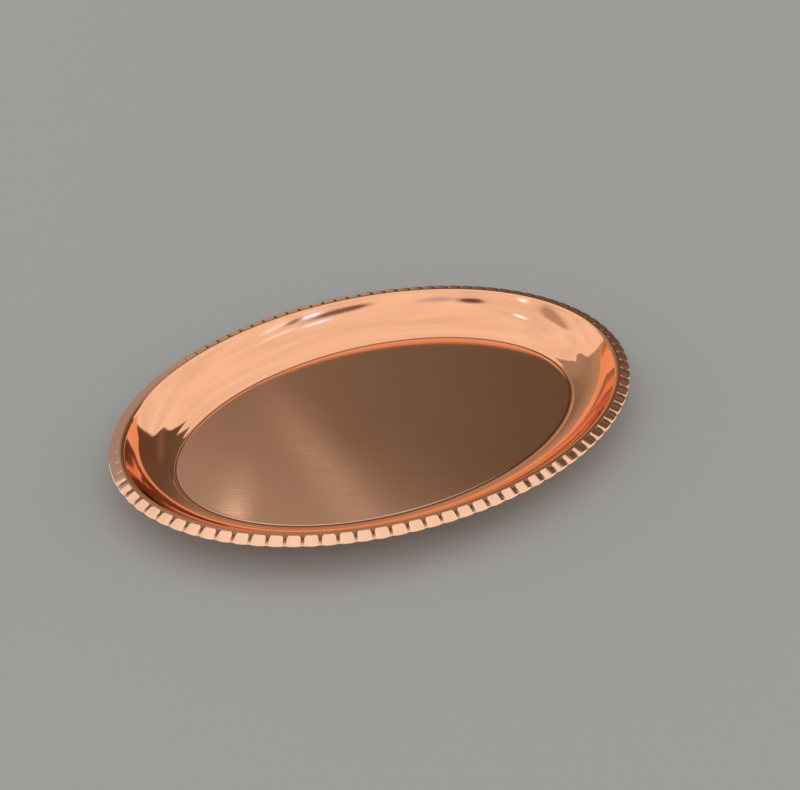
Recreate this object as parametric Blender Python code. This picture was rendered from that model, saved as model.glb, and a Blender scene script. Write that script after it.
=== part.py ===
"""Oval copper tray with a fluted border, as three separate pieces.

The tray stands on the XY plane with its long axis along X and the centre of its floor above the origin.
Lengths are in metres. Every piece follows the outer oval: its section is drawn as points that lie a
distance in from that oval (the inset) and a height above the ground, and is carried round it.
"""

import math

import bmesh
import bpy
import numpy as np

# The outer oval, measured over the crowns of the flutes
TRAY_LENGTH = 0.300
TRAY_WIDTH = 0.210

# The pan: floor, step, hollow wall and shoulder. The wall's upper stretch is straight, and its length is a
# share of the hollow stretch's radius. The crest is the pan's highest line.
PAN_SHEET = 0.0008
CREST_HEIGHT = 0.0221
CREST_INSET = 0.0062
WALL_RUN = 0.0250
STEP_RADIUS = 0.0024
STEP_SLOPE = math.radians(40.0)
COVE_START_SLOPE = math.radians(17.0)
WALL_STRAIGHT_SHARE = 0.2
SHOULDER_RADIUS = 0.0026

# Outside the crest the pan is set down, so that the border on its flange lies level with the crest
SET_DOWN_RADIUS = 0.0010
SET_DOWN_SLOPE = math.radians(60.0)
SET_DOWN_STRAIGHT = 0.0003
SET_DOWN_FOOT_RADIUS = 0.0005
BAND_FALL = math.radians(11.5)

# The border: a strip of stamped flutes, turned down and curled under at its outer edge
BORDER_SHEET = 0.0004
GROOVE_SHEET = 0.00035
FLUTE_PITCH = 0.0084
FLUTE_HEIGHT = 0.00045
FLUTE_END_RUN = 0.0007
FLUTE_ROLL_RADIUS = 0.0011
SCALLOP_DEPTH = 0.0003
CURL_TUCK = 0.0006
LOBE_POWER = 3.0
LOBE_COLUMN_SHARES = (-0.5, -0.32, 0.0, 0.32)

# The wire inside the curled edge
WIRE_DIAMETER = 0.0007

# The gap kept between pieces that touch
SEAT_GAP = 0.0003

# Middle of a quarter turn, and the corner angle from which an edge is drawn sharp
EIGHTH_TURN = math.radians(45.0)
SHARP_CORNER = math.radians(40.0)

# The steepest slope that the wall can have
UPRIGHT = math.radians(90.0)

# How finely the shapes are drawn
OVAL_SAMPLES = 7200
SLOPE_HALVINGS = 50
WIRE_SIDES = 6
SHOULDER_STEPS = 3
COVE_STEPS = 4
STEP_TOP_STEPS = 2
STEP_FOOT_STEPS = 2
SET_DOWN_STEPS = 2

# Finishes: colour (linear), roughness
POLISHED_COPPER = ((0.91, 0.47, 0.31), 0.08)
BORDER_COPPER = ((0.90, 0.46, 0.30), 0.14)
WIRE_COPPER = ((0.80, 0.38, 0.24), 0.30)


def clear_scene():
    for obj in list(bpy.data.objects):
        bpy.data.objects.remove(obj, do_unlink=True)


def copper(name, finish):
    """A metal material with the colour and roughness of the given finish."""
    colour, roughness = finish
    material = bpy.data.materials.new(name)
    material.use_nodes = True
    shader = material.node_tree.nodes["Principled BSDF"]
    shader.inputs["Base Color"].default_value = (*colour, 1.0)
    shader.inputs["Roughness"].default_value = roughness
    shader.inputs["Metallic"].default_value = 1.0
    material.diffuse_color = (*colour, 1.0)
    return material


def oval_way():
    """The outer oval's angles, and the distance along it at each of them."""
    angles = np.linspace(0.0, 2.0 * math.pi, OVAL_SAMPLES + 1)
    across = TRAY_LENGTH / 2.0 * np.cos(angles)
    along = TRAY_WIDTH / 2.0 * np.sin(angles)
    steps = np.hypot(np.diff(across), np.diff(along))
    return angles, np.concatenate(([0.0], np.cumsum(steps)))


def flute_count():
    """A whole number of flutes, as near to the chosen pitch as the oval's length allows."""
    return round(float(oval_way()[1][-1]) / FLUTE_PITCH)


def oval_stations(way_shares):
    """Points on the outer oval and their outward normals, at shares of the distance round it."""
    angles, way = oval_way()
    at = np.interp(np.asarray(way_shares) * way[-1], way, angles)
    points = np.stack((TRAY_LENGTH / 2.0 * np.cos(at), TRAY_WIDTH / 2.0 * np.sin(at)), axis=1)
    normals = np.stack((TRAY_WIDTH * np.cos(at), TRAY_LENGTH * np.sin(at)), axis=1)
    normals /= np.linalg.norm(normals, axis=1)[:, None]
    return points, normals


def arc_points(start, radius, slope_from, slope_to, steps):
    """Points and slopes along an arc that starts at (run, height) and turns from one slope to another."""
    run, height = start
    turn = math.copysign(1.0, slope_to - slope_from)
    found = []
    for step in range(1, steps + 1):
        slope = slope_from + (slope_to - slope_from) * step / steps
        out = run + turn * radius * (math.sin(slope) - math.sin(slope_from))
        up = height + turn * radius * (math.cos(slope_from) - math.cos(slope))
        found.append((out, up, slope))
    return found


def straight_point(start, length, slope):
    """The far end of a straight stretch that starts at (run, height), with its slope."""
    run, height = start
    return (run + length * math.cos(slope), height + length * math.sin(slope), slope)


def wall_for(wall_slope):
    """The hollow stretch's radius, and the crest's height above the floor, when the wall ends at this slope."""
    step_run = STEP_RADIUS * (2.0 * math.sin(STEP_SLOPE) - math.sin(COVE_START_SLOPE))
    step_rise = STEP_RADIUS * (1.0 + math.cos(COVE_START_SLOPE) - 2.0 * math.cos(STEP_SLOPE))
    shoulder_run = SHOULDER_RADIUS * math.sin(wall_slope)
    shoulder_rise = SHOULDER_RADIUS * (1.0 - math.cos(wall_slope))
    run_share = math.sin(wall_slope) - math.sin(COVE_START_SLOPE)
    run_share += WALL_STRAIGHT_SHARE * math.cos(wall_slope)
    rise_share = math.cos(COVE_START_SLOPE) - math.cos(wall_slope)
    rise_share += WALL_STRAIGHT_SHARE * math.sin(wall_slope)
    cove_radius = (WALL_RUN - step_run - shoulder_run) / run_share
    return cove_radius, step_rise + cove_radius * rise_share + shoulder_rise


def wall_sizes():
    """The wall's slope and the hollow stretch's radius, so that it climbs from the floor to the crest."""
    low, high = COVE_START_SLOPE, UPRIGHT
    for _ in range(SLOPE_HALVINGS):
        slope = (low + high) / 2.0
        if wall_for(slope)[1] < CREST_HEIGHT - PAN_SHEET:
            low = slope
        else:
            high = slope
    return slope, wall_for(slope)[0]


def floor_inset():
    """The distance from the outer oval in to the edge of the flat floor."""
    return CREST_INSET + WALL_RUN


def set_down():
    """The face from the crest down to the start of the flange, as run, height and slope."""
    start = (floor_inset() - CREST_INSET, CREST_HEIGHT)
    face = arc_points(start, SET_DOWN_RADIUS, 0.0, -SET_DOWN_SLOPE, SET_DOWN_STEPS)
    face.append(straight_point(face[-1][:2], SET_DOWN_STRAIGHT, -SET_DOWN_SLOPE))
    face += arc_points(face[-1][:2], SET_DOWN_FOOT_RADIUS, -SET_DOWN_SLOPE, -BAND_FALL, SET_DOWN_STEPS)
    return face


def flange_start_inset():
    """The distance from the outer oval in to the start of the flange, where the border ends too."""
    return floor_inset() - set_down()[-1][0]


def flange_height(inset):
    """The height of the flange's upper face, which falls gently outward."""
    return set_down()[-1][1] - (flange_start_inset() - inset) * math.tan(BAND_FALL)


def lip_inset():
    """The inner face of the border's turned-down edge."""
    return SCALLOP_DEPTH + BORDER_SHEET


def wire_inset():
    return lip_inset() + SEAT_GAP + WIRE_DIAMETER / 2.0


def wire_height():
    """The wire's middle lies a gap below the underside of the border."""
    reach = (WIRE_DIAMETER / 2.0 + SEAT_GAP) / math.cos(BAND_FALL)
    return flange_height(wire_inset()) + SEAT_GAP - reach


def flange_edge_inset():
    return wire_inset() + WIRE_DIAMETER / 2.0 + SEAT_GAP


def pan_face():
    """The pan's upper face from the floor's edge out to the flange's edge, as run, height and slope."""
    wall_slope, cove_radius = wall_sizes()
    flange = (flange_start_inset() - flange_edge_inset()) / math.cos(BAND_FALL)
    face = [(0.0, PAN_SHEET, 0.0)]
    face += arc_points(face[-1][:2], STEP_RADIUS, 0.0, STEP_SLOPE, STEP_FOOT_STEPS)
    face += arc_points(face[-1][:2], STEP_RADIUS, STEP_SLOPE, COVE_START_SLOPE, STEP_TOP_STEPS)
    face += arc_points(face[-1][:2], cove_radius, COVE_START_SLOPE, wall_slope, COVE_STEPS)
    face.append(straight_point(face[-1][:2], WALL_STRAIGHT_SHARE * cove_radius, wall_slope))
    face += arc_points(face[-1][:2], SHOULDER_RADIUS, wall_slope, 0.0, SHOULDER_STEPS)
    face += set_down()
    face.append(straight_point(face[-1][:2], flange, -BAND_FALL))
    return face


def pan_section():
    """The pan's section as (inset, height): along its upper face, then back along its underside."""
    edge = floor_inset()
    face = pan_face()
    upper = [(edge - run, height) for run, height, _ in face]
    lower = []
    for run, height, slope in reversed(face):
        out = run + PAN_SHEET * math.sin(slope)
        down = height - PAN_SHEET * math.cos(slope)
        lower.append((edge - out, down))
    return upper + lower


def border_section(lobe_share):
    """The border's closed section as (inset, height), where lobe_share is 0 in a groove and 1 on a crown."""
    scallop = SCALLOP_DEPTH * (1.0 - lobe_share)
    flute = GROOVE_SHEET + FLUTE_HEIGHT * lobe_share
    roll_radius = GROOVE_SHEET + (FLUTE_ROLL_RADIUS - GROOVE_SHEET) * lobe_share
    roll_start = scallop + roll_radius
    inner_end = flange_start_inset()
    sheet_end = inner_end + GROOVE_SHEET / math.tan(SET_DOWN_SLOPE)
    flute_end = sheet_end - FLUTE_END_RUN
    lip = lip_inset()
    curl_bottom = wire_height() - WIRE_DIAMETER / 2.0 - SEAT_GAP - BORDER_SHEET

    def under(inset):
        return flange_height(inset) + SEAT_GAP

    roll_top = under(roll_start) + flute
    roll_middle = roll_radius * (1.0 - math.sin(EIGHTH_TURN))
    return [
        (inner_end, under(inner_end)),
        (sheet_end, under(inner_end) + GROOVE_SHEET),
        (flute_end, under(flute_end) + flute),
        (roll_start, roll_top),
        (scallop + roll_middle, roll_top - roll_middle),
        (scallop, roll_top - roll_radius),
        (scallop, wire_height()),
        (CURL_TUCK, curl_bottom),
        (wire_inset(), curl_bottom),
        (wire_inset(), curl_bottom + BORDER_SHEET),
        (lip + SEAT_GAP, curl_bottom + BORDER_SHEET),
        (lip, curl_bottom + BORDER_SHEET + SEAT_GAP),
        (lip, under(lip)),
    ]


def wire_section():
    """The wire's round section as (inset, height)."""
    section = []
    for side in range(WIRE_SIDES):
        turn = 2.0 * math.pi * (side + 0.5) / WIRE_SIDES
        inset = wire_inset() - WIRE_DIAMETER / 2.0 * math.cos(turn)
        section.append((inset, wire_height() - WIRE_DIAMETER / 2.0 * math.sin(turn)))
    return section


def add_piece(name, mesh_builder, material):
    """An object made from a bmesh, shaded smooth but for its sharp edges."""
    mesh_builder.normal_update()
    bmesh.ops.recalc_face_normals(mesh_builder, faces=mesh_builder.faces)
    mesh = bpy.data.meshes.new(name)
    mesh_builder.to_mesh(mesh)
    mesh_builder.free()
    mesh.materials.append(material)
    mesh.shade_smooth()
    mesh.set_sharp_from_angle(angle=SHARP_CORNER)
    obj = bpy.data.objects.new(name, mesh)
    bpy.context.scene.collection.objects.link(obj)
    return obj


def sweep_rings(way_shares, sections):
    """A bmesh with one ring of vertices for each point of the section, carried round the oval."""
    points, normals = oval_stations(way_shares)
    builder = bmesh.new()
    rings = []
    for row in range(len(sections[0])):
        ring = []
        for point, normal, section in zip(points, normals, sections):
            inset, height = section[row]
            place = point - normal * inset
            ring.append(builder.verts.new((place[0], place[1], height)))
        rings.append(ring)
    return builder, rings


def join_rings(builder, first, second):
    """Faces between two neighbouring rings."""
    for index, vertex in enumerate(first):
        builder.faces.new((vertex, first[index - 1], second[index - 1], second[index]))


def make_pan():
    """The drawn sheet. Its section is open: flat faces close it over the floor, above and below."""
    count = flute_count()
    way_shares = np.arange(count) / count
    builder, rings = sweep_rings(way_shares, [pan_section()] * count)
    for first, second in zip(rings, rings[1:]):
        join_rings(builder, first, second)
    builder.faces.new(rings[0])
    builder.faces.new(rings[-1])
    return add_piece("tray_pan", builder, copper("polished_copper", POLISHED_COPPER))


def make_border():
    """The strip of flutes: its section swells and shrinks with each lobe as it goes round."""
    count = flute_count()
    way_shares = []
    sections = []
    for flute in range(count):
        for share in LOBE_COLUMN_SHARES:
            way_shares.append((flute + share) / count)
            sections.append(border_section(1.0 - abs(2.0 * share) ** LOBE_POWER))
    builder, rings = sweep_rings(way_shares, sections)
    for index, ring in enumerate(rings):
        join_rings(builder, rings[index - 1], ring)
    return add_piece("fluted_border", builder, copper("border_copper", BORDER_COPPER))


def make_wire():
    """The closed ring of round wire in the curled edge."""
    count = flute_count()
    way_shares = np.arange(count) / count
    builder, rings = sweep_rings(way_shares, [wire_section()] * count)
    for index, ring in enumerate(rings):
        join_rings(builder, rings[index - 1], ring)
    return add_piece("rim_wire", builder, copper("wire_copper", WIRE_COPPER))


def main():
    clear_scene()
    make_pan()
    make_border()
    make_wire()


main()
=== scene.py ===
"""Looks of the copper tray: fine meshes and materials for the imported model, floor, light and camera."""

import math

import bpy
import numpy as np
from mathutils import Matrix, Vector


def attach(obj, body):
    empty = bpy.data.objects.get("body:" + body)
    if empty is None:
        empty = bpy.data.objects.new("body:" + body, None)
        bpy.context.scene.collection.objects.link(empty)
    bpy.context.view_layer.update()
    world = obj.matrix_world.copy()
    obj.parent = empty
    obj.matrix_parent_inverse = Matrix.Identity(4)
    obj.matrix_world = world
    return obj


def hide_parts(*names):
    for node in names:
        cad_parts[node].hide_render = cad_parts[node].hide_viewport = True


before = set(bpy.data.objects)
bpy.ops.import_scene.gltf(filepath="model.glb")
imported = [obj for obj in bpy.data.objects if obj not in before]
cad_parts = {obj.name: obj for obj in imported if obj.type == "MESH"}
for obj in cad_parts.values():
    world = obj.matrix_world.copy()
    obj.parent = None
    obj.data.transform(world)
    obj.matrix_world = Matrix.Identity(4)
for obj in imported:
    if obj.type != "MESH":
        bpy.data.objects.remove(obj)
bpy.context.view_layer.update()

MM = 0.001

# The tray's sizes in millimetres and radians. They are the model's, except that the crest is 0.03 lower and
# that the upper stretch of the wall is gently curved. An inset is a distance in from the outer oval
LENGTH, WIDTH = 300.0, 210.0
SHEET, CREST, CREST_INSET, WALL_RUN = 0.8, 22.07, 6.2, 25.0
STEP_RADIUS, STEP_SLOPE = 2.4, math.radians(40.0)
COVE_SLOPE = math.radians(17.0)
UPPER_SHARE, UPPER_BEND = 0.245, math.radians(6.0)
SHOULDER_RADIUS, BAND_FALL = 2.6, math.radians(11.5)
SET_DOWN_RADIUS, SET_DOWN_SLOPE, SET_DOWN_STRAIGHT, FOOT_RADIUS = 1.0, math.radians(60.0), 0.3, 0.5
STRIP, SCALLOP, FLUTES = 0.4, 0.3, 96
WIRE, GAP = 0.7, 0.3
FLOOR_INSET = CREST_INSET + WALL_RUN
LIP = SCALLOP + STRIP
WIRE_INSET = LIP + GAP + WIRE / 2

# The line pressed round the floor: distance in from the floor's edge, and depth
CREASE = ((0.95, 0.0), (0.7, 0.06), (0.15, 0.06))

# The sheet is slightly uneven: depth and length of the waves on the floor and on the wall. The floor's fade
# towards its edge by a power, and the wall's start where the face is steeper than the last value
FLOOR_SWELL, FLOOR_WAVE, FLOOR_FADE = 0.035, 95.0, 4
WALL_SWELL, WALL_WAVE, WALL_SWELL_FROM = 0.05, 34.0, 0.1

# The lobes: they start level with the crest and fall outward to the rolled edge. Each is a low pillow with
# rounded inner corners, and a flat-bottomed groove, deepest at its inner end, parts it from the next
BAND_START, LOBE_END, CORNER = 6.05, 5.65, 1.3
CROWN_LIFT, DOME, DOME_POWER = 0.02, 0.32, 3
LOBE_SHARE, CORNER_SHARE, GROOVE_WALL = 0.80, 0.30, 0.08
END_WALL_BEFORE, END_WALL_AFTER = 0.02, 0.08
GROOVE_DEPTH, GROOVE_POWER, GROOVE_OUTER, GROOVE_INNER = 0.62, 1.5, 0.9, 4.9
METAL_UNDER_GROOVE, LEAST_DEPTH = 0.05, 0.01

# Tarnish fills the grooves and spills a little over their edges. It is weaker at the rim and on the roll
TARNISH_SPILL, TARNISH_FULL = 0.06, 0.03
RIM_TARNISH, ADDED_TARNISH, ADDED_FROM, ADDED_TO = 0.55, 0.45, 1.0, 3.0
ROLL_TARNISH = 0.5

# The outer edge rolls over and tucks under the wire. At each groove it is pinched: drawn in, lifted and
# rolled tighter. Where the roll is steep, a painted highlight makes it paler
EDGE_ROLL, PINCHED_ROLL, EDGE_SCALLOP, SCALLOP_REACH = 0.87, 0.40, 0.65, 3.0
PINCH_POWER, PINCHED_LIFT, PINCHED_UNDER = 2.4, 0.28, 0.5
UNDER_ROLL, TUCK, SHARP_CORNER = 0.25, math.radians(45.0), math.radians(50)
BRIGHT_FROM, BRIGHT_TO = 0.5, 1.2

# The border's inner side: the curl under the wire, the space round the wire, and the seat on the pan
CURL_RUN, WIRE_SPACE, CURL_TURNS = 0.2, 0.1, np.radians(np.linspace(-80.0, -180.0, 8))
SEAT_INSET, SEAT_LIFT, FOOT_LIFT = 2.0, 0.02, 0.015

# Handling has worn the relief away at the tray's left end, and partly next to it: the share that is gone, and
# the stretches, as shares of the way round, over which the wear comes and goes
WEAR, WEAR_COMES, WEAR_GOES = 0.9, (0.33, 0.40), (0.508, 0.518)
PART_WEAR, PART_COMES, PART_GOES = 0.5, (0.48, 0.50), (0.52, 0.60)

# Mesh fineness: points round the oval, steps across each stretch of the sections, and places across a lobe
OVAL_POINTS, PAN_COLUMNS, WIRE_SIDES, HALVINGS = 7201, 768, 14, 50
STEP_FOOT_STEPS, STEP_TOP_STEPS, COVE_STEPS, UPPER_STEPS, SHOULDER_STEPS = 10, 7, 36, 12, 18
SET_DOWN_STEPS, FOOT_STEPS, FLANGE_STEPS = 8, 5, 3
FLOOR_RING_SHARES, UNDER_RINGS_APART = np.linspace(0.04, 0.975, 25), 4
END_RINGS, END_RINGS_TO, LOBE_RINGS, LOBE_RINGS_FROM, ROLL_RINGS = 9, 5.25, 19, 5.1, 14
LOBE_PLACES = (0.0, 0.15, 0.3, 0.45, 0.58, 0.68, 0.75, 0.79, 0.82, 0.85, 0.88, 0.94, 1.0)

# The pan's material slots
FLOOR_SLOT, WALL_SLOT, UNDER_SLOT = 0, 1, 2


def rotated(vector, angle):
    return Matrix.Rotation(angle, 3, "Z") @ Vector(vector)


# Shapes


def stations(shares):
    """Points on the outer oval and outward normals at shares of the way round it."""
    angles = np.linspace(0.0, 2.0 * math.pi, OVAL_POINTS)
    x, y = LENGTH / 2 * np.cos(angles), WIDTH / 2 * np.sin(angles)
    way = np.concatenate(([0.0], np.cumsum(np.hypot(np.diff(x), np.diff(y)))))
    at = np.interp(np.mod(shares, 1.0) * way[-1], way, angles)
    points = np.stack((LENGTH / 2 * np.cos(at), WIDTH / 2 * np.sin(at)), axis=1)
    normals = np.stack((WIDTH * np.cos(at), LENGTH * np.sin(at)), axis=1)
    return points, normals / np.linalg.norm(normals, axis=1)[:, None]


def arc(start, radius, slope_from, slope_to, steps):
    """Points of an arc after its start, as run, height and slope."""
    slopes = slope_from + (slope_to - slope_from) * np.arange(1, steps + 1) / steps
    turn = math.copysign(1.0, slope_to - slope_from)
    run = start[0] + turn * radius * (np.sin(slopes) - math.sin(slope_from))
    height = start[1] + turn * radius * (math.cos(slope_from) - np.cos(slopes))
    return list(zip(run, height, slopes))


def straight(start, length, slope, steps):
    """Points of a straight stretch after its start, as run, height and slope."""
    ways = length * np.arange(1, steps + 1) / steps
    return [(start[0] + w * math.cos(slope), start[1] + w * math.sin(slope), slope) for w in ways]


def wall_for(slope):
    """The hollow stretch's radius, and the crest's height above the floor, for a wall of this slope."""
    low, high = slope - UPPER_BEND / 2, slope + UPPER_BEND / 2
    step_run = STEP_RADIUS * (2 * math.sin(STEP_SLOPE) - math.sin(COVE_SLOPE))
    step_rise = STEP_RADIUS * (1 + math.cos(COVE_SLOPE) - 2 * math.cos(STEP_SLOPE))
    over = SHOULDER_RADIUS * math.sin(high)
    upper = UPPER_SHARE / UPPER_BEND
    run_share = math.sin(low) - math.sin(COVE_SLOPE) + upper * (math.sin(high) - math.sin(low))
    rise_share = math.cos(COVE_SLOPE) - math.cos(low) + upper * (math.cos(low) - math.cos(high))
    radius = (WALL_RUN - step_run - over) / run_share
    return radius, step_rise + radius * rise_share + SHOULDER_RADIUS * (1 - math.cos(high))


def wall_sizes():
    """The wall's slope and the hollow stretch's radius, so that the wall climbs to the crest."""
    low, high = COVE_SLOPE, math.pi / 2
    for _ in range(HALVINGS):
        slope = (low + high) / 2
        if wall_for(slope)[1] < CREST - SHEET:
            low = slope
        else:
            high = slope
    return slope, wall_for(slope)[0]


def set_down():
    """The pan's face from its crest down to the flange under the border, as run, height and slope."""
    face = arc((WALL_RUN, CREST), SET_DOWN_RADIUS, 0.0, -SET_DOWN_SLOPE, SET_DOWN_STEPS)
    face += straight(face[-1], SET_DOWN_STRAIGHT, -SET_DOWN_SLOPE, 1)
    return face + arc(face[-1], FOOT_RADIUS, -SET_DOWN_SLOPE, -BAND_FALL, FOOT_STEPS)


FLANGE_INSET = FLOOR_INSET - set_down()[-1][0]
FLANGE_TOP = set_down()[-1][1]


def flange_height(inset):
    return FLANGE_TOP - (FLANGE_INSET - inset) * math.tan(BAND_FALL)


WIRE_HEIGHT = flange_height(WIRE_INSET) + GAP - (WIRE / 2 + GAP) / math.cos(BAND_FALL)
CURL_BOTTOM = WIRE_HEIGHT - WIRE / 2 - GAP - STRIP


def mesh_object(name, vertices, faces, materials, indices=None):
    """A smooth-shaded object from rows of vertices in millimetres."""
    mesh = bpy.data.meshes.new(name)
    mesh.from_pydata((np.asarray(vertices) * MM).tolist(), [], faces)
    for material in materials:
        mesh.materials.append(material)
    if indices is not None:
        mesh.polygons.foreach_set("material_index", indices)
    mesh.shade_smooth()
    mesh.validate()
    obj = bpy.data.objects.new(name, mesh)
    bpy.context.scene.collection.objects.link(obj)
    return obj


def add_marks(obj, name, values):
    """A value for each vertex, which a material reads by its name."""
    obj.data.attributes.new(name, "FLOAT", "POINT").data.foreach_set("value", values)


def band_faces(rows, columns, close=False):
    """Quads between neighbouring rings of vertices; close joins the last ring to the first."""
    faces = []
    for row in range(rows if close else rows - 1):
        a, b = row * columns, (row + 1) % rows * columns
        for c in range(columns):
            d = (c + 1) % columns
            faces.append((a + c, a + d, b + d, b + c))
    return faces


def smooth(value, low, high):
    """0 up to the low limit and 1 from the high one, with a soft step between them."""
    share = np.clip((value - low) / (high - low), 0.0, 1.0)
    return share**2 * (3 - 2 * share)


def waves(x, y, size):
    """Crossing waves between about -1 and 1, which never quite repeat; size is their length."""
    k = 2 * math.pi / size
    return (
        np.sin(k * (0.83 * x + 0.31 * y) + 0.7) * np.cos(k * (0.27 * y - 0.58 * x) + 1.9)
        + 0.6 * np.sin(k * (1.21 * y - 0.44 * x) + 2.6)
        + 0.4 * np.sin(k * (0.52 * x + 1.63 * y) + 4.1)
    ) / 2.0


def pan_face():
    """The pan's upper face from the floor's edge out to the flange's edge, as run, height and slope."""
    slope, radius = wall_sizes()
    low, high = slope - UPPER_BEND / 2, slope + UPPER_BEND / 2
    flange = (FLANGE_INSET - WIRE_INSET - WIRE / 2 - GAP) / math.cos(BAND_FALL)
    face = [(0.0, SHEET, 0.0)]
    face += arc(face[-1], STEP_RADIUS, 0.0, STEP_SLOPE, STEP_FOOT_STEPS)
    face += arc(face[-1], STEP_RADIUS, STEP_SLOPE, COVE_SLOPE, STEP_TOP_STEPS)
    face += arc(face[-1], radius, COVE_SLOPE, low, COVE_STEPS)
    face += arc(face[-1], UPPER_SHARE * radius / UPPER_BEND, low, high, UPPER_STEPS)
    face += arc(face[-1], SHOULDER_RADIUS, high, 0.0, SHOULDER_STEPS)
    face += set_down()
    return face + straight(face[-1], flange, -BAND_FALL, FLANGE_STEPS)


def make_pan(floor_material, wall_material, under_material):
    """The drawn sheet, ring by ring: over the floor and out to the flange's edge, then back underneath."""
    face = pan_face()
    points, normals = stations(np.arange(PAN_COLUMNS) / PAN_COLUMNS)
    rim = points - normals * FLOOR_INSET
    rings = []
    slots = []
    for share in FLOOR_RING_SHARES:
        ring = rim * share
        lift = FLOOR_SWELL * waves(ring[:, 0], ring[:, 1], FLOOR_WAVE) * (1 - share**FLOOR_FADE)
        rings.append(np.column_stack((ring, SHEET + lift)))
        slots.append(FLOOR_SLOT)
    for inward, depth in CREASE:
        ring = points - normals * (FLOOR_INSET + inward)
        rings.append(np.column_stack((ring, np.full(PAN_COLUMNS, SHEET - depth))))
        slots.append(FLOOR_SLOT)
    crease_end = len(rings)
    for number, (run, height, slope) in enumerate(face):
        ring = points - normals * (FLOOR_INSET - run)
        swell = np.zeros(PAN_COLUMNS)
        if slope > WALL_SWELL_FROM:
            swell = WALL_SWELL * waves(ring[:, 0], ring[:, 1], WALL_WAVE) * math.sin(slope) ** 2
        ring = ring + normals * (swell * math.sin(slope))[:, None]
        rings.append(np.column_stack((ring, height - swell * math.cos(slope))))
        slots.append(FLOOR_SLOT if number == 0 else WALL_SLOT)
    for run, height, slope in face[::-1]:
        out, down = run + SHEET * math.sin(slope), height - SHEET * math.cos(slope)
        ring = points - normals * (FLOOR_INSET - out)
        rings.append(np.column_stack((ring, np.full(PAN_COLUMNS, down))))
        slots.append(UNDER_SLOT)
    for share in FLOOR_RING_SHARES[::-UNDER_RINGS_APART]:
        rings.append(np.column_stack((rim * share, np.zeros(PAN_COLUMNS))))
        slots.append(UNDER_SLOT)
    count = len(rings)
    faces = band_faces(count, PAN_COLUMNS)
    indices = [max(slots[row], slots[row + 1]) for row in range(count - 1) for _ in range(PAN_COLUMNS)]

    # A fan of triangles closes the middle of the floor, and another the middle of the underside
    top, bottom, last = count * PAN_COLUMNS, count * PAN_COLUMNS + 1, (count - 1) * PAN_COLUMNS
    faces += [(top, (c + 1) % PAN_COLUMNS, c) for c in range(PAN_COLUMNS)]
    faces += [(bottom, last + c, last + (c + 1) % PAN_COLUMNS) for c in range(PAN_COLUMNS)]
    indices += [FLOOR_SLOT] * PAN_COLUMNS + [UNDER_SLOT] * PAN_COLUMNS
    faces = [tuple(reversed(f)) for f in faces]
    vertices = np.concatenate(rings + [[[0.0, 0.0, SHEET]], [[0.0, 0.0, 0.0]]])
    obj = mesh_object("pan", vertices, faces, (floor_material, wall_material, under_material), indices)

    # The crease's two deep rings are marked, for its tarnish
    dark = np.zeros(len(vertices))
    dark[(crease_end - 2) * PAN_COLUMNS : crease_end * PAN_COLUMNS] = 1.0
    add_marks(obj, "crease", dark)
    return obj


def top_height(inset):
    """Height of the lobes' crowns, which leave the crest level and then fall straight."""
    out = CREST_INSET - inset
    bend = SHOULDER_RADIUS * math.sin(BAND_FALL)
    curved = SHOULDER_RADIUS - math.sqrt(SHOULDER_RADIUS**2 - min(out, bend) ** 2)
    return CREST + CROWN_LIFT - curved - max(out - bend, 0.0) * math.tan(BAND_FALL)


def pan_height(inset):
    """Height of the pan's face under the band."""
    if inset < FLANGE_INSET:
        return flange_height(inset)
    face = np.array(set_down())
    return float(np.interp(FLOOR_INSET - inset, face[:, 0], face[:, 1]))


def lobe_shape(across, inset, worn, flatter):
    """Depth below the crowns, and the share of tarnish; across is 0 on a crown and 1 in a groove."""
    side = np.abs(across)
    end = np.clip((inset - LOBE_END + CORNER) / CORNER, 0.0, 1.0)
    half = LOBE_SHARE - CORNER_SHARE * (1 - math.sqrt(1 - end**2))
    past_end = smooth(inset, LOBE_END - END_WALL_BEFORE, LOBE_END + END_WALL_AFTER)
    groove = np.maximum(smooth(side, half, half + GROOVE_WALL), past_end)
    way_in = np.clip((inset - GROOVE_OUTER) / (GROOVE_INNER - GROOVE_OUTER), 0.0, 1.0)
    dome = DOME * (1 - flatter) * side**DOME_POWER
    depth = dome + np.maximum(GROOVE_DEPTH * way_in**GROOVE_POWER - dome, 0.0) * groove
    room = max(top_height(inset) - pan_height(inset) - METAL_UNDER_GROOVE, LEAST_DEPTH)
    tarnish = np.maximum(groove, smooth(side, half - TARNISH_SPILL, half + TARNISH_FULL))
    tarnish = tarnish * (RIM_TARNISH + ADDED_TARNISH * smooth(inset, ADDED_FROM, ADDED_TO))
    return np.minimum(depth * (1 - worn), room), tarnish * (1 - worn)


def wear_between(shares, comes, goes):
    return smooth(shares, *comes) * (1 - smooth(shares, *goes))


def border_inner_side():
    """The border's inner side as inset and height: round the wire, along the flange and up to the crest."""
    reach = WIRE / 2 + WIRE_SPACE
    side = [(WIRE_INSET + reach * math.cos(t), WIRE_HEIGHT + reach * math.sin(t)) for t in CURL_TURNS]
    side.append((LIP, flange_height(LIP) + GAP / 2))
    side.append((SEAT_INSET, flange_height(SEAT_INSET) + SEAT_LIFT))
    side.append((FLANGE_INSET, FLANGE_TOP + SEAT_LIFT))
    for run, height, _ in set_down()[::-1][FOOT_STEPS:]:
        inset = FLOOR_INSET - run
        if inset < BAND_START:
            side.append((inset, height + FOOT_LIFT))
    return side


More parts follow.
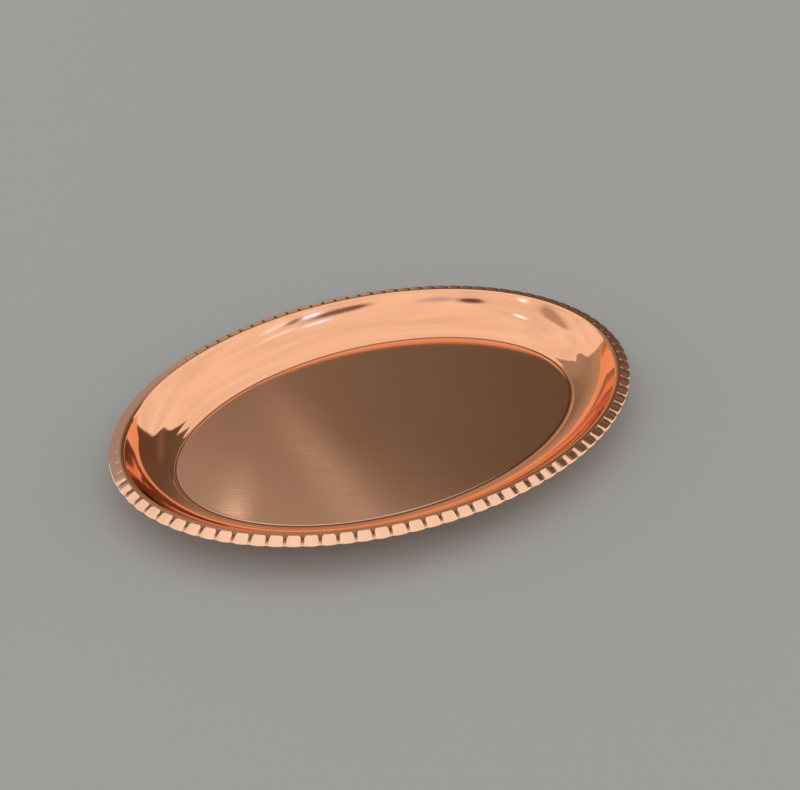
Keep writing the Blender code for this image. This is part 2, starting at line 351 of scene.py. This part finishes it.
def make_border(material):
    """The strip of lobes: from the crest over them to the edge, round the roll and back on the inner side."""
    half = np.array(LOBE_PLACES)
    places = np.concatenate((-half[:0:-1], half[:-1]))
    columns = FLUTES * len(places)
    across = np.tile(places, FLUTES)
    shares = (np.repeat(np.arange(FLUTES), len(places)) + across / 2) / FLUTES
    points, normals = stations(shares)
    worn = WEAR * wear_between(shares, WEAR_COMES, WEAR_GOES)
    flatter = PART_WEAR * wear_between(shares, PART_COMES, PART_GOES)
    pinch = np.abs(across) ** PINCH_POWER * (1 - worn)
    roll = EDGE_ROLL - (EDGE_ROLL - PINCHED_ROLL) * pinch
    flat = 1 - math.sin(BAND_FALL)
    scallop = EDGE_SCALLOP * pinch - (EDGE_ROLL - roll) * flat
    end_rings = np.linspace(BAND_START, END_RINGS_TO, END_RINGS)
    lobe_rings = np.linspace(LOBE_RINGS_FROM, EDGE_ROLL * flat, LOBE_RINGS)
    rows = []
    grooves = []
    highlight_marks = []
    for inset in np.concatenate((end_rings, lobe_rings)):
        depth, tarnish = lobe_shape(across, inset, worn, flatter)
        drawn_in = scallop * np.clip(1 - inset / SCALLOP_REACH, 0.0, 1.0)
        rows.append((inset + drawn_in, top_height(inset) - depth))
        grooves.append(tarnish)
        highlight_marks.append(np.zeros(columns))
    start, height = rows[-1]
    under = UNDER_ROLL * (1 - PINCHED_UNDER * pinch)
    for turn in np.linspace(BAND_FALL, math.pi / 2 + TUCK, ROLL_RINGS)[1:]:
        if turn > math.pi / 2:
            out = roll * flat - under * (1 - math.sin(turn))
            drop = roll * math.cos(BAND_FALL) - under * math.cos(turn)
        else:
            out = roll * (math.sin(turn) - math.sin(BAND_FALL))
            drop = roll * (math.cos(BAND_FALL) - math.cos(turn))
        rows.append((start - out, height - drop))
        grooves.append(tarnish * ROLL_TARNISH)
        # Painted highlight: the steep part of the roll is marked here, and the material paints it paler
        highlight_marks.append(np.full(columns, smooth(turn, BRIGHT_FROM, BRIGHT_TO)))
    below = CURL_BOTTOM + PINCHED_LIFT * pinch
    rows += [(np.full(columns, inset), below) for inset in (WIRE_INSET - CURL_RUN, WIRE_INSET)]
    rows += [(np.full(columns, inset), np.full(columns, z)) for inset, z in border_inner_side()]
    vertices = np.concatenate([np.column_stack((points - normals * i[:, None], z)) for i, z in rows])
    faces = band_faces(len(rows), columns, close=True)
    obj = mesh_object("border", vertices, faces, (material,))
    obj.data.set_sharp_from_angle(angle=SHARP_CORNER)
    for name, values in (("groove", grooves), ("edge", highlight_marks)):
        marks = np.zeros(len(vertices))
        marks[: len(values) * columns] = np.concatenate(values)
        add_marks(obj, name, marks)
    return obj


def make_wire(material):
    """The closed ring of round wire."""
    points, normals = stations(np.arange(PAN_COLUMNS) / PAN_COLUMNS)
    rings = []
    for side in range(WIRE_SIDES):
        turn = 2 * math.pi * side / WIRE_SIDES
        ring = points - normals * (WIRE_INSET - WIRE / 2 * math.cos(turn))
        height = WIRE_HEIGHT + WIRE / 2 * math.sin(turn)
        rings.append(np.column_stack((ring, np.full(PAN_COLUMNS, height))))
    faces = band_faces(WIRE_SIDES, PAN_COLUMNS, close=True)
    return mesh_object("wire", np.concatenate(rings), faces, (material,))


# Nodes, for the materials and the light


def node(tree, kind, **settings):
    made = tree.nodes.new(kind)
    for key, value in settings.items():
        if key in made.inputs:
            made.inputs[key].default_value = value
        else:
            setattr(made, key, value)
    return made


def math_node(tree, operation, *values):
    """One step of arithmetic on numbers and other nodes' outputs."""
    made = node(tree, "ShaderNodeMath", operation=operation)
    for socket, value in zip(made.inputs, values):
        if isinstance(value, float):
            socket.default_value = value
        else:
            tree.links.new(value, socket)
    return made.outputs["Value"]


def product(tree, first, *others):
    for other in others:
        first = math_node(tree, "MULTIPLY", first, other)
    return first


def ramp(tree, source, given, wanted):
    """A value carried from one range to another, and held at its ends."""
    made = node(tree, "ShaderNodeMapRange")
    made.inputs["From Min"].default_value, made.inputs["From Max"].default_value = given
    made.inputs["To Min"].default_value, made.inputs["To Max"].default_value = wanted
    tree.links.new(source, made.inputs["Value"])
    return made.outputs["Result"]


def bell(tree, across, middle, spread):
    """A smooth hill along one axis: 1 at the middle."""
    away = math_node(tree, "MULTIPLY_ADD", across, 1 / spread, -middle / spread)
    return math_node(tree, "EXPONENT", product(tree, away, away, -1.0))


def noise(tree, vector, scale, detail=2.0, roughness=0.5):
    made = node(tree, "ShaderNodeTexNoise", Scale=scale, Detail=detail, Roughness=roughness)
    tree.links.new(vector, made.inputs["Vector"])
    return made.outputs["Fac"]


def scaled(tree, vector, scale, turn=0.0):
    """Coordinates turned by an angle and then scaled, so that a noise in them has a grain."""
    made = node(tree, "ShaderNodeMapping", vector_type="TEXTURE")
    made.inputs["Scale"].default_value = [1 / size for size in scale]
    made.inputs["Rotation"].default_value = (0.0, 0.0, turn)
    tree.links.new(vector, made.inputs["Vector"])
    return made.outputs["Vector"]


def colour_mix(tree, fac, first, second):
    """A mix of two colours, each a constant or another node's output."""
    mix = node(tree, "ShaderNodeMix", data_type="RGBA")
    for name, colour in (("A", first), ("B", second)):
        if isinstance(colour, tuple):
            mix.inputs[name].default_value = (*colour, 1.0)
        else:
            tree.links.new(colour, mix.inputs[name])
    tree.links.new(fac, mix.inputs["Factor"])
    return mix.outputs["Result"]


# Materials

# Colours of the copper, each beside its partner in a mix, and the share of a colour that dulled copper keeps
COPPER, COPPER_WARM = (0.955, 0.50, 0.30), (0.93, 0.46, 0.26)
FLOOR, FLOOR_WARM = (0.94, 0.52, 0.335), (0.90, 0.47, 0.29)
# The border's second colour is a painted highlight: paler copper painted on the steep part of the rolled edge
BORDER, EDGE_HIGHLIGHT = (0.97, 0.585, 0.395), (0.99, 0.74, 0.57)
GROOVE_TARNISH, CREASE_TARNISH = (0.30, 0.15, 0.085), (0.30, 0.13, 0.07)
DRAWN_WIRE, DULLED = (0.8, 0.38, 0.24), 0.86

# The brushing's direction, the grains of brushing and polishing in waves to the metre, the height of bumps in
# metres, how uneven the dirt is, and the values between which most of a noise lies
BRUSH_TURN, BRUSH_GRAIN, POLISH_GRAIN = math.radians(-24.0), (35.0, 2600.0, 1.0), (900.0, 900.0, 60.0)
BUMP_HEIGHT, UNEVEN_DIRT, MOST_NOISE = 0.0001, 0.5, (0.3, 0.7)


def new_material(name, colour, roughness):
    """A metal. Its plain colour and roughness give way to any nodes that are linked to them."""
    material = bpy.data.materials.new(name)
    material.use_nodes = True
    tree = material.node_tree
    shader = tree.nodes["Principled BSDF"]
    shader.inputs["Base Color"].default_value = (*colour, 1.0)
    shader.inputs["Roughness"].default_value = roughness
    shader.inputs["Metallic"].default_value = 1.0
    return material, tree, shader


def object_place(tree):
    return node(tree, "ShaderNodeTexCoord").outputs["Object"]


def marks_of(tree, name):
    return node(tree, "ShaderNodeAttribute", attribute_name=name).outputs["Fac"]


def set_colour(tree, shader, colour):
    tree.links.new(colour, shader.inputs["Base Color"])


def set_roughness(tree, shader, source, given, wanted):
    tree.links.new(ramp(tree, source, given, wanted), shader.inputs["Roughness"])


def set_bump(tree, shader, height, strength):
    made = node(tree, "ShaderNodeBump", Strength=strength, Distance=BUMP_HEIGHT)
    tree.links.new(height, made.inputs["Height"])
    tree.links.new(made.outputs["Normal"], shader.inputs["Normal"])


def wall_copper():
    """Polished copper with a faint haze."""
    material, tree, shader = new_material("polished_wall", COPPER, 0.05)
    place = object_place(tree)
    haze = noise(tree, place, scale=55.0, detail=3.0)
    set_roughness(tree, shader, haze, given=(0.35, 0.7), wanted=(0.035, 0.10))
    set_colour(tree, shader, colour_mix(tree, noise(tree, place, scale=22.0), COPPER, COPPER_WARM))
    set_bump(tree, shader, noise(tree, scaled(tree, place, POLISH_GRAIN), scale=1.0), strength=0.04)
    return material


def floor_copper():
    """Copper brushed in one direction, with tarnish in its crease."""
    material, tree, shader = new_material("brushed_floor", COPPER, 0.2)
    place = object_place(tree)
    lines = noise(tree, scaled(tree, place, BRUSH_GRAIN, BRUSH_TURN), scale=1.0, detail=3.0, roughness=0.6)
    broad = noise(tree, place, scale=30.0, detail=3.0)
    set_roughness(tree, shader, broad, given=MOST_NOISE, wanted=(0.05, 0.09))
    brushed = colour_mix(tree, lines, FLOOR, FLOOR_WARM)
    set_colour(tree, shader, colour_mix(tree, marks_of(tree, "crease"), brushed, CREASE_TARNISH))
    set_bump(tree, shader, lines, strength=0.12)
    return material


def border_copper():
    """Stamped copper: a painted highlight makes its outer edge paler, with uneven tarnish in its grooves."""
    material, tree, shader = new_material("border_copper", COPPER, 0.12)
    place = object_place(tree)
    uneven = noise(tree, place, scale=260.0, detail=3.0)
    dirt = math_node(tree, "MULTIPLY_ADD", uneven, UNEVEN_DIRT, marks_of(tree, "groove"))
    dark = ramp(tree, dirt, given=(0.55, 1.15), wanted=(0.0, 1.0))
    set_roughness(tree, shader, dark, given=(0.0, 1.0), wanted=(0.07, 0.35))
    # Painted highlight: the steep part of the rolled edge is painted a paler copper
    edge_highlighted = colour_mix(tree, marks_of(tree, "edge"), BORDER, EDGE_HIGHLIGHT)
    set_colour(tree, shader, colour_mix(tree, dark, edge_highlighted, GROOVE_TARNISH))
    set_bump(tree, shader, noise(tree, place, scale=1500.0), strength=0.15)
    return material


def plain_copper(name, colour, roughness):
    """Copper that nobody polishes, between two roughnesses."""
    material, tree, shader = new_material(name, colour, roughness[0])
    place = object_place(tree)
    smears = noise(tree, place, scale=70.0, detail=4.0)
    set_roughness(tree, shader, smears, given=MOST_NOISE, wanted=roughness)
    dulled = tuple(DULLED * c for c in colour)
    set_colour(tree, shader, colour_mix(tree, noise(tree, place, scale=40.0, detail=4.0), colour, dulled))
    return material


# Camera

# The camera was solved from the photograph: its angles, its distance to the middle of the rim in metres, and
# its focal length and centre in pixels
ELEVATION, ROLL, TURN = math.radians(37.88), math.radians(-2.49), math.radians(21.93)
DISTANCE, FOCAL, CENTRE_X, CENTRE_Y = 0.4977, 890.0, 379.72, 391.94
IMAGE_WIDTH, IMAGE_HEIGHT, SENSOR, NEAREST = 800, 790, 36.0, 0.01
RIM_HEIGHT = 0.02137


def add_camera():
    right = rotated((1, 0, 0), -TURN)
    up = rotated((0, math.sin(ELEVATION), math.cos(ELEVATION)), -TURN)
    ahead = rotated((0, math.cos(ELEVATION), -math.sin(ELEVATION)), -TURN)
    across = right * math.cos(ROLL) + up * math.sin(ROLL)
    upward = up * math.cos(ROLL) - right * math.sin(ROLL)
    place = Vector((0, 0, RIM_HEIGHT)) - ahead * DISTANCE
    camera = bpy.data.objects.new("camera", bpy.data.cameras.new("camera"))
    bpy.context.scene.collection.objects.link(camera)
    matrix = Matrix.Identity(4)
    for column, axis in enumerate((across, upward, -ahead, place)):
        for row in range(3):
            matrix[row][column] = axis[row]
    camera.matrix_world = matrix
    camera.data.sensor_width = SENSOR
    camera.data.lens = FOCAL / IMAGE_WIDTH * SENSOR
    camera.data.shift_x = (IMAGE_WIDTH / 2 - CENTRE_X) / IMAGE_WIDTH
    camera.data.shift_y = (CENTRE_Y - IMAGE_HEIGHT / 2) / IMAGE_WIDTH
    camera.data.clip_start = NEAREST
    bpy.context.scene.camera = camera


# Light

# The light is a white tent with a dim room beyond its far side. A direction has three measures: far, side (to
# the right) and upward, each 1 straight along that way. A pair of them, sides or levels (upward), says where
# something comes or goes

# The opening to the room is a cone about the far side: the cosine of its half-width, and how soft and how
# ragged its edge is. It swells at one height, bulges on the right and has a dent high on the left
OPENING, OPENING_SOFTNESS, RAGGEDNESS, RAGGED_SCALE = 0.591, 0.009, 0.05, 3.5
SWELL, SWELL_HEIGHT, SWELL_SPREAD = 0.105, 0.574, 0.10
BULGE, BULGE_COMES, BULGE_GOES = 0.10, (0.345, 0.375), (0.375, 0.6)
DENT, DENT_SIDE, DENT_SPREAD, DENT_LEVELS = 0.06, -0.50, 0.06, (0.60, 0.66)

# The room's colours from left to right, by share of the way across
ROOM_SIDES = (-0.6, 0.6)
ROOM_COLOURS = (
    (0.08, (0.37, 0.33, 0.30)),
    (0.33, (0.28, 0.245, 0.21)),
    (0.5, (0.195, 0.172, 0.142)),
    (0.67, (0.14, 0.115, 0.092)),
    (1.0, (0.135, 0.09, 0.066)),
)
# It is paler high up and low down on the left, and at one height on the right
HIGH_LEAN, HIGH_LEVELS, HIGH_SIDES, HIGH_COLOUR = -0.35, (0.66, 0.75), (0.1, 0.25), (0.385, 0.37, 0.35)
LOW_SHARE, LOW_LEVELS, LOW_SIDES, LOW_COLOUR = 0.75, (0.42, 0.22), (0.1, -0.05), (0.50, 0.42, 0.34)
RIGHT_SHARE, RIGHT_HEIGHT, RIGHT_SPREAD, RIGHT_SIDES = 0.5, 0.57, 0.06, (0.30, 0.42)
RIGHT_COLOUR = (0.28, 0.215, 0.17)
# In it are a slanting pale streak and a window, whose right edge is sharp
STREAK_LEAN, STREAK_PLACE, STREAK_SPREAD = -0.95, -0.707, 0.014
STREAK_SHARE, STREAK_LEVELS, STREAK_COLOUR = 0.42, (0.58, 0.66), (0.95, 0.93, 0.90)
WINDOW_SIDE, WINDOW_SPREAD, WINDOW_LEVELS, WINDOW_SHARE = -0.158, 0.022, (0.682, 0.715), 1.5
WINDOW_LEAN, WINDOW_EDGE, WINDOW_COLOUR = 0.55, (0.230, 0.234), (1.18, 1.20, 1.24)

# The tent's cloth is uneven, and lamps and dark things stand in it behind the camera: place to the side and
# up, width, height, share of cover and colour
TENT_PALE, TENT_SHADED, TENT_FOLDS = (1.04, 1.03, 1.02), (0.86, 0.84, 0.82), (1.0, 1.0, 2.5)
BEHIND = (-0.12, 0.0)
TENT_THINGS = (
    (0.480, 0.450, 0.095, 0.030, 0.90, (0.14, 0.07, 0.11)),
    (0.660, 0.400, 0.030, 0.020, 0.80, (0.14, 0.07, 0.11)),
    (0.026, 0.495, 0.085, 0.026, 0.75, (0.52, 0.55, 0.85)),
    (-0.200, 0.507, 0.070, 0.028, 0.95, (0.08, 0.06, 0.06)),
    (-0.840, 0.420, 0.070, 0.070, 0.70, (0.33, 0.28, 0.24)),
    (0.600, 0.405, 0.026, 0.020, 1.0, (1.10, 1.70, 3.00)),
    (0.560, 0.540, 0.034, 0.022, 1.0, (1.10, 1.70, 3.00)),
    (0.725, 0.380, 0.030, 0.022, 0.8, (1.10, 1.45, 1.80)),
    (0.690, 0.500, 0.040, 0.022, 0.8, (1.10, 1.45, 1.80)),
    (-0.607, 0.367, 0.028, 0.024, 1.0, (2.00, 2.60, 3.40)),
    (-0.513, 0.705, 0.030, 0.026, 1.0, (1.60, 2.20, 3.00)),
)


def along(tree, way, axis):
    """How far a direction points along an axis: 1 straight along it, -1 straight back."""
    made = node(tree, "ShaderNodeVectorMath", operation="DOT_PRODUCT")
    made.inputs[1].default_value = axis
    tree.links.new(way, made.inputs[0])
    return made.outputs["Value"]


def opening_share(tree, way, far, side, upward):
    """1 in the opening and 0 on the tent."""
    swell = product(tree, bell(tree, upward, SWELL_HEIGHT, SWELL_SPREAD), SWELL)
    bulge = ramp(tree, side, BULGE_COMES, (0.0, BULGE))
    bulge = math_node(tree, "ADD", bulge, ramp(tree, side, BULGE_GOES, (0.0, -BULGE)))
    dent = bell(tree, side, DENT_SIDE, DENT_SPREAD)
    dent = product(tree, dent, ramp(tree, upward, DENT_LEVELS, (0.0, -DENT)))
    ragged = math_node(tree, "MULTIPLY_ADD", noise(tree, way, scale=RAGGED_SCALE), RAGGEDNESS, far)
    outline = math_node(tree, "ADD", swell, math_node(tree, "ADD", dent, bulge))
    edge = math_node(tree, "ADD", outline, ragged)
    return ramp(tree, edge, (OPENING - OPENING_SOFTNESS, OPENING + OPENING_SOFTNESS), (0.0, 1.0))


def dim_room(tree, side, upward):
    """The colour of the room in each direction."""
    room = node(tree, "ShaderNodeValToRGB")
    stops = room.color_ramp.elements
    for stop, (place, colour) in zip(stops, (ROOM_COLOURS[0], ROOM_COLOURS[-1])):
        stop.position, stop.color = place, (*colour, 1.0)
    for place, colour in ROOM_COLOURS[1:-1]:
        stops.new(place).color = (*colour, 1.0)
    tree.links.new(ramp(tree, side, ROOM_SIDES, (0.0, 1.0)), room.inputs["Fac"])

    level = math_node(tree, "MULTIPLY_ADD", side, HIGH_LEAN, upward)
    high = product(tree, ramp(tree, level, HIGH_LEVELS, (0.0, 1.0)), ramp(tree, side, HIGH_SIDES, (1.0, 0.0)))
    low = ramp(tree, upward, LOW_LEVELS, (0.0, LOW_SHARE))
    low = product(tree, low, ramp(tree, side, LOW_SIDES, (0.0, 1.0)))
    right = bell(tree, upward, RIGHT_HEIGHT, RIGHT_SPREAD)
    right = product(tree, right, ramp(tree, side, RIGHT_SIDES, (0.0, RIGHT_SHARE)))
    slant = math_node(tree, "MULTIPLY_ADD", upward, STREAK_LEAN, side)
    streak = bell(tree, slant, STREAK_PLACE, STREAK_SPREAD)
    streak = product(tree, streak, ramp(tree, upward, STREAK_LEVELS, (0.0, STREAK_SHARE)))
    slant = math_node(tree, "MULTIPLY_ADD", upward, WINDOW_LEAN, side)
    window = bell(tree, side, WINDOW_SIDE, WINDOW_SPREAD)
    window = product(tree, window, ramp(tree, upward, WINDOW_LEVELS, (0.0, 1.0)))
    window = product(tree, window, ramp(tree, slant, WINDOW_EDGE, (1.0, 0.0)), WINDOW_SHARE)

    colour = room.outputs["Color"]
    for share, paler in (
        (high, HIGH_COLOUR),
        (low, LOW_COLOUR),
        (right, RIGHT_COLOUR),
        (streak, STREAK_COLOUR),
        (window, WINDOW_COLOUR),
    ):
        colour = colour_mix(tree, share, colour, paler)
    return colour


def white_tent(tree, way, far, side, upward):
    """The colour of the tent in each direction, and of what stands in it."""
    folds = noise(tree, scaled(tree, way, TENT_FOLDS), scale=2.2, detail=3.0)
    tent = colour_mix(tree, ramp(tree, folds, MOST_NOISE, (0.0, 1.0)), TENT_PALE, TENT_SHADED)
    behind = ramp(tree, far, BEHIND, (1.0, 0.0))
    for across, height, width, tall, share, colour in TENT_THINGS:
        spot = product(tree, bell(tree, side, across, width), bell(tree, upward, height, tall))
        spot = product(tree, spot, behind, 1.0 + share)
        tent = colour_mix(tree, math_node(tree, "MINIMUM", spot, share), tent, colour)
    return tent


def studio():
    world = bpy.data.worlds.new("studio")
    bpy.context.scene.world = world
    world.use_nodes = True
    tree = world.node_tree
    tree.nodes.clear()
    way = node(tree, "ShaderNodeTexCoord").outputs["Generated"]
    far = along(tree, way, rotated((0, 1, 0), -TURN))
    side = along(tree, way, rotated((1, 0, 0), -TURN))
    upward = along(tree, way, (0, 0, 1))
    tent = white_tent(tree, way, far, side, upward)
    room = dim_room(tree, side, upward)
    light = colour_mix(tree, opening_share(tree, way, far, side, upward), tent, room)
    background = node(tree, "ShaderNodeBackground")
    tree.links.new(light, background.inputs["Color"])
    output = node(tree, "ShaderNodeOutputWorld")
    tree.links.new(background.outputs["Background"], output.inputs["Surface"])


# Ground

GROUND, GROUND_SIZE, GROUND_HEIGHT = (0.40, 0.40, 0.39), 6000.0, -0.05


def add_ground():
    """A wide plain floor, just under the tray."""
    corners = [(-1, -1), (1, -1), (1, 1), (-1, 1)]
    vertices = [(GROUND_SIZE * x, GROUND_SIZE * y, GROUND_HEIGHT) for x, y in corners]
    material, _, shader = new_material("pale_floor", GROUND, 0.7)
    shader.inputs["Metallic"].default_value = 0.0
    mesh_object("floor", vertices, [(0, 1, 2, 3)], (material,))


# The scene, with each of the tray's three pieces in place of its node

bpy.context.scene.view_settings.view_transform = "Standard"
add_camera()
studio()
add_ground()
under_copper = plain_copper("pan_underside", COPPER_WARM, (0.12, 0.3))
PIECES = (
    (make_pan(floor_copper(), wall_copper(), under_copper), "tray_pan", "polished_copper"),
    (make_border(border_copper()), "fluted_border", "border_copper"),
    (make_wire(plain_copper("drawn_wire", DRAWN_WIRE, (0.25, 0.4))), "rim_wire", "wire_copper"),
)
for piece, cad_node, slot_name in PIECES:
    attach(piece, "root")
    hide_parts(cad_node)
